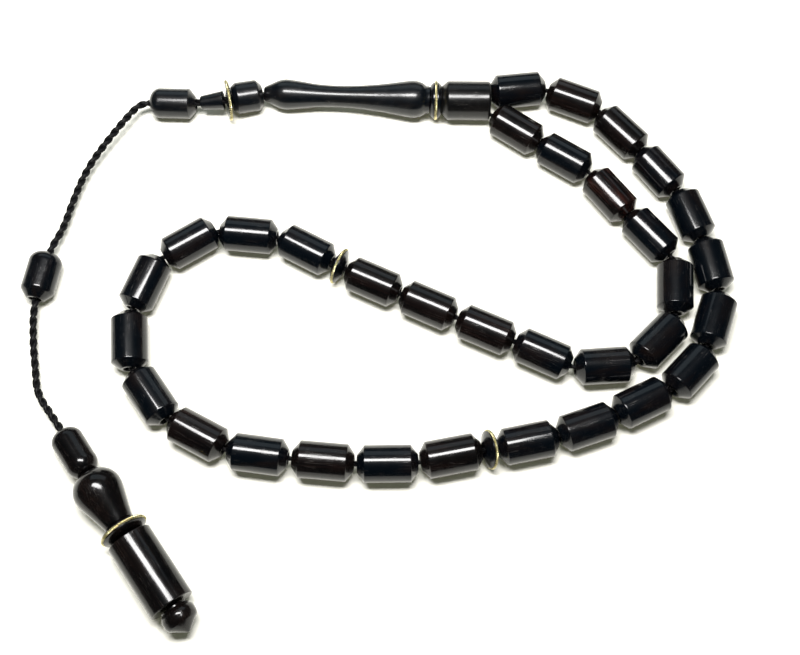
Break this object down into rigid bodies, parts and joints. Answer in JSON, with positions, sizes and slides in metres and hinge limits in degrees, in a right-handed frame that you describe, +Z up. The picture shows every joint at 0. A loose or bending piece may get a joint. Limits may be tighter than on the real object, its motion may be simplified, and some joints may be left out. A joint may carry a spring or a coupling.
{
  "type": "prayer bead string",
  "caption": "Loop of turned dark barrel beads with wire-rimmed divider discs, a long turned leader, a short two-ply cord and a turned tassel.",
  "frame": {"origin": "bottom centre of the laid-out string's bounding box, without the free cord, on the table it lies on", "axes": "+Z up from the table; +X along the longest side of the laid-out string, from the tassel side towards the far end of the loop; +Y from the tassel towards the leader"},
  "size_m": [0.1592, 0.1302, 0.0103],
  "materials": {
    "ebony_black": "turned and hand-polished, near black with a cool tint",
    "ebony_brown": "turned and hand-polished, near black with warm brown grain",
    "ebony_worn": "satin, lightly scratched",
    "ebony_tassel": "turned and polished, fine grain",
    "gilt_wire": "fine twisted gilt wire, slightly dulled",
    "black_cord": "black two-ply twisted cord"
  },
  "bodies": {
    "strung_cord": {"imame_base_bead": "ebony_worn", "tassel_end_ball": "ebony_tassel", "loop_cord": "black_cord", "imame_core_cord": "black_cord", "tassel_cord": "black_cord", "tassel_core_cord": "black_cord", "end_knot": "black_cord"},
    "bead_01_body": {"bead_01": "ebony_black"},
    "bead_02_body": {"bead_02": "ebony_brown"},
    "bead_03_body": {"bead_03": "ebony_brown"},
    "bead_04_body": {"bead_04": "ebony_black"},
    "bead_05_body": {"bead_05": "ebony_black"},
    "bead_06_body": {"bead_06": "ebony_black"},
    "bead_07_body": {"bead_07": "ebony_black"},
    "bead_08_body": {"bead_08": "ebony_black"},
    "bead_09_body": {"bead_09": "ebony_black"},
    "bead_10_body": {"bead_10": "ebony_black"},
    "bead_11_body": {"bead_11": "ebony_black"},
    "bead_12_body": {"bead_12": "ebony_brown"},
    "bead_13_body": {"bead_13": "ebony_black"},
    "bead_14_body": {"bead_14": "ebony_brown"},
    "bead_15_body": {"bead_15": "ebony_black"},
    "bead_16_body": {"bead_16": "ebony_brown"},
    "bead_17_body": {"bead_17": "ebony_black"},
    "bead_18_body": {"bead_18": "ebony_black"},
    "bead_19_body": {"bead_19": "ebony_black"},
    "bead_20_body": {"bead_20": "ebony_black"},
    "bead_21_body": {"bead_21": "ebony_black"},
    "bead_22_body": {"bead_22": "ebony_black"},
    "bead_23_body": {"bead_23": "ebony_brown"},
    "bead_24_body": {"bead_24": "ebony_brown"},
    "bead_25_body": {"bead_25": "ebony_brown"},
    "bead_26_body": {"bead_26": "ebony_black"},
    "bead_27_body": {"bead_27": "ebony_black"},
    "bead_28_body": {"bead_28": "ebony_black"},
    "bead_29_body": {"bead_29": "ebony_black"},
    "bead_30_body": {"bead_30": "ebony_black"},
    "bead_31_body": {"bead_31": "ebony_brown"},
    "bead_32_body": {"bead_32": "ebony_black"},
    "bead_33_body": {"bead_33": "ebony_brown"},
    "divider_a_body": {"divider_disc_a": "ebony_black", "divider_wire_a": "gilt_wire"},
    "divider_b_body": {"divider_disc_b": "ebony_black", "divider_wire_b": "gilt_wire"},
    "imame_disc_body": {"imame_disc": "ebony_black", "imame_wire": "gilt_wire"},
    "imame_body_body": {"imame_body": "ebony_black"},
    "collar_bead_body": {"collar_bead": "ebony_black"},
    "collar_disc_body": {"collar_disc": "ebony_black", "collar_wire": "gilt_wire"},
    "neck_tube_body": {"neck_tube": "ebony_black"},
    "upper_pill_body": {"upper_pill_bead": "ebony_black"},
    "mid_bead_body": {"mid_bead": "ebony_black"},
    "lower_pill_body": {"lower_pill_bead": "ebony_black"},
    "tassel_bulb_body": {"tassel_bulb": "ebony_tassel"},
    "tassel_disc_body": {"tassel_disc": "ebony_tassel", "tassel_wire": "gilt_wire"},
    "tassel_cylinder_body": {"tassel_cylinder": "ebony_tassel"}
  },
  "joints": [
    {"name": "bead_01_spin", "type": "hinge", "parent": "strung_cord", "child": "bead_01_body", "pos_m": [0.03193, 0.06051, 0.004], "axis": [-0.9919, -0.1271, 0], "continuous": true},
    {"name": "bead_02_spin", "type": "hinge", "parent": "strung_cord", "child": "bead_02_body", "pos_m": [0.04528, 0.05807, 0.004], "axis": [-0.9317, 0.3633, 0], "continuous": true},
    {"name": "bead_03_spin", "type": "hinge", "parent": "strung_cord", "child": "bead_03_body", "pos_m": [0.05603, 0.04965, 0.004], "axis": [-0.6782, 0.7349, 0], "continuous": true},
    {"name": "bead_04_spin", "type": "hinge", "parent": "strung_cord", "child": "bead_04_body", "pos_m": [0.06426, 0.03956, 0.004], "axis": [-0.6143, 0.7891, 0], "continuous": true},
    {"name": "bead_05_spin", "type": "hinge", "parent": "strung_cord", "child": "bead_05_body", "pos_m": [0.07093, 0.02861, 0.004], "axis": [-0.3354, 0.9421, 0], "continuous": true},
    {"name": "bead_06_spin", "type": "hinge", "parent": "strung_cord", "child": "bead_06_body", "pos_m": [0.07465, 0.01646, 0.004], "axis": [-0.1908, 0.9816, 0], "continuous": true},
    {"name": "bead_07_spin", "type": "hinge", "parent": "strung_cord", "child": "bead_07_body", "pos_m": [0.07427, 0.00325, 0.004], "axis": [0.3239, 0.9461, 0], "continuous": true},
    {"name": "bead_08_spin", "type": "hinge", "parent": "strung_cord", "child": "bead_08_body", "pos_m": [0.06816, -0.00853, 0.004], "axis": [0.6845, 0.729, 0], "continuous": true},
    {"name": "bead_09_spin", "type": "hinge", "parent": "strung_cord", "child": "bead_09_body", "pos_m": [0.05721, -0.01585, 0.004], "axis": [0.8949, 0.4462, 0], "continuous": true},
    {"name": "bead_10_spin", "type": "hinge", "parent": "strung_cord", "child": "bead_10_body", "pos_m": [0.04523, -0.02134, 0.004], "axis": [0.9415, 0.3371, 0], "continuous": true},
    {"name": "bead_11_spin", "type": "hinge", "parent": "strung_cord", "child": "bead_11_body", "pos_m": [0.03247, -0.02508, 0.004], "axis": [0.9767, 0.2147, 0], "continuous": true},
    {"name": "bead_12_spin", "type": "hinge", "parent": "strung_cord", "child": "bead_12_body", "pos_m": [0.01621, -0.02825, 0.004], "axis": [0.9785, 0.2062, 0], "continuous": true},
    {"name": "bead_13_spin", "type": "hinge", "parent": "strung_cord", "child": "bead_13_body", "pos_m": [0.00288, -0.03019, 0.004], "axis": [0.9995, 0.0332, 0], "continuous": true},
    {"name": "bead_14_spin", "type": "hinge", "parent": "strung_cord", "child": "bead_14_body", "pos_m": [-0.01071, -0.02988, 0.004], "axis": [0.9978, -0.0663, 0], "continuous": true},
    {"name": "bead_15_spin", "type": "hinge", "parent": "strung_cord", "child": "bead_15_body", "pos_m": [-0.02453, -0.02878, 0.004], "axis": [0.9932, -0.1167, 0], "continuous": true},
    {"name": "bead_16_spin", "type": "hinge", "parent": "strung_cord", "child": "bead_16_body", "pos_m": [-0.03755, -0.02473, 0.004], "axis": [0.8942, -0.4478, 0], "continuous": true},
    {"name": "bead_17_spin", "type": "hinge", "parent": "strung_cord", "child": "bead_17_body", "pos_m": [-0.04844, -0.01651, 0.004], "axis": [0.6004, -0.7997, 0], "continuous": true},
    {"name": "bead_18_spin", "type": "hinge", "parent": "strung_cord", "child": "bead_18_body", "pos_m": [-0.05417, -0.00416, 0.004], "axis": [0.1149, -0.9934, 0], "continuous": true},
    {"name": "bead_19_spin", "type": "hinge", "parent": "strung_cord", "child": "bead_19_body", "pos_m": [-0.05208, 0.00934, 0.004], "axis": [-0.3338, -0.9426, 0], "continuous": true},
    {"name": "bead_20_spin", "type": "hinge", "parent": "strung_cord", "child": "bead_20_body", "pos_m": [-0.04297, 0.01923, 0.004], "axis": [-0.8348, -0.5505, 0], "continuous": true},
    {"name": "bead_21_spin", "type": "hinge", "parent": "strung_cord", "child": "bead_21_body", "pos_m": [-0.02974, 0.02152, 0.004], "axis": [-0.9972, 0.075, 0], "continuous": true},
    {"name": "bead_22_spin", "type": "hinge", "parent": "strung_cord", "child": "bead_22_body", "pos_m": [-0.01652, 0.01811, 0.004], "axis": [-0.8918, 0.4524, 0], "continuous": true},
    {"name": "bead_23_spin", "type": "hinge", "parent": "strung_cord", "child": "bead_23_body", "pos_m": [-0.00127, 0.01071, 0.004], "axis": [-0.9164, 0.4004, 0], "continuous": true},
    {"name": "bead_24_spin", "type": "hinge", "parent": "strung_cord", "child": "bead_24_body", "pos_m": [0.01112, 0.00535, 0.004], "axis": [-0.9191, 0.3939, 0], "continuous": true},
    {"name": "bead_25_spin", "type": "hinge", "parent": "strung_cord", "child": "bead_25_body", "pos_m": [0.02376, -0.00006, 0.004], "axis": [-0.9219, 0.3875, 0], "continuous": true},
    {"name": "bead_26_spin", "type": "hinge", "parent": "strung_cord", "child": "bead_26_body", "pos_m": [0.0362, -0.00527, 0.004], "axis": [-0.9164, 0.4004, 0], "continuous": true},
    {"name": "bead_27_spin", "type": "hinge", "parent": "strung_cord", "child": "bead_27_body", "pos_m": [0.0495, -0.00775, 0.004], "axis": [-0.996, -0.0889, 0], "continuous": true},
    {"name": "bead_28_spin", "type": "hinge", "parent": "strung_cord", "child": "bead_28_body", "pos_m": [0.06172, -0.00164, 0.004], "axis": [-0.7034, -0.7108, 0], "continuous": true},
    {"name": "bead_29_spin", "type": "hinge", "parent": "strung_cord", "child": "bead_29_body", "pos_m": [0.06625, 0.01101, 0.004], "axis": [-0.0645, -0.9979, 0], "continuous": true},
    {"name": "bead_30_spin", "type": "hinge", "parent": "strung_cord", "child": "bead_30_body", "pos_m": [0.06131, 0.02346, 0.004], "axis": [0.6534, -0.757, 0], "continuous": true},
    {"name": "bead_31_spin", "type": "hinge", "parent": "strung_cord", "child": "bead_31_body", "pos_m": [0.05266, 0.03336, 0.004], "axis": [0.6252, -0.7804, 0], "continuous": true},
    {"name": "bead_32_spin", "type": "hinge", "parent": "strung_cord", "child": "bead_32_body", "pos_m": [0.04247, 0.04263, 0.004], "axis": [0.8526, -0.5225, 0], "continuous": true},
    {"name": "bead_33_spin", "type": "hinge", "parent": "strung_cord", "child": "bead_33_body", "pos_m": [0.03142, 0.04989, 0.004], "axis": [0.8358, -0.549, 0], "continuous": true},
    {"name": "divider_disc_a_spin", "type": "hinge", "parent": "strung_cord", "child": "divider_a_body", "pos_m": [0.02438, -0.0267, 0.0041], "axis": [0.9438, 0.2058, -0.2588], "continuous": true},
    {"name": "divider_disc_b_spin", "type": "hinge", "parent": "strung_cord", "child": "divider_b_body", "pos_m": [-0.00893, 0.01429, 0.00422], "axis": [-0.9063, 0.4226, 0], "continuous": true},
    {"name": "imame_disc_spin", "type": "hinge", "parent": "strung_cord", "child": "imame_disc_body", "pos_m": [0.01234, 0.05702, 0.0045], "axis": [1, 0, 0], "continuous": true},
    {"name": "imame_body_spin", "type": "hinge", "parent": "strung_cord", "child": "imame_body_body", "pos_m": [-0.02853, 0.05859, 0.00346], "axis": [0.999, -0.0366, 0.026], "continuous": true},
    {"name": "collar_bead_spin", "type": "hinge", "parent": "strung_cord", "child": "collar_bead_body", "pos_m": [-0.03254, 0.05736, 0.00394], "axis": [0.9528, 0.2732, -0.1323], "continuous": true},
    {"name": "collar_disc_spin", "type": "hinge", "parent": "strung_cord", "child": "collar_disc_body", "pos_m": [-0.03685, 0.05582, 0.00468], "axis": [0.9609, 0.2396, -0.1392], "continuous": true},
    {"name": "neck_tube_spin", "type": "hinge", "parent": "strung_cord", "child": "neck_tube_body", "pos_m": [-0.04341, 0.05539, 0.00408], "axis": [0.991, 0.1129, 0.0715], "continuous": true},
    {"name": "upper_pill_bead_spin", "type": "hinge", "parent": "strung_cord", "child": "upper_pill_body", "pos_m": [-0.05535, 0.05539, 0.00354], "axis": [1, -0.0052, 0], "continuous": true},
    {"name": "mid_bead_spin", "type": "hinge", "parent": "strung_cord", "child": "mid_bead_body", "pos_m": [-0.0747, 0.01599, 0.00368], "axis": [-0.1444, -0.9895, 0], "continuous": true},
    {"name": "lower_pill_bead_spin", "type": "hinge", "parent": "strung_cord", "child": "lower_pill_body", "pos_m": [-0.0664, -0.02482, 0.00342], "axis": [0.6031, -0.7917, 0.0976], "continuous": true},
    {"name": "tassel_bulb_spin", "type": "hinge", "parent": "strung_cord", "child": "tassel_bulb_body", "pos_m": [-0.05953, -0.03385, 0.00514], "axis": [0.606, -0.7955, 0], "continuous": true},
    {"name": "tassel_disc_spin", "type": "hinge", "parent": "strung_cord", "child": "tassel_disc_body", "pos_m": [-0.05078, -0.04534, 0.00506], "axis": [0.6027, -0.7911, 0.1045], "continuous": true},
    {"name": "tassel_cylinder_spin", "type": "hinge", "parent": "strung_cord", "child": "tassel_cylinder_body", "pos_m": [-0.0497, -0.04674, 0.00471], "axis": [0.606, -0.7955, 0], "continuous": true}
  ]
}
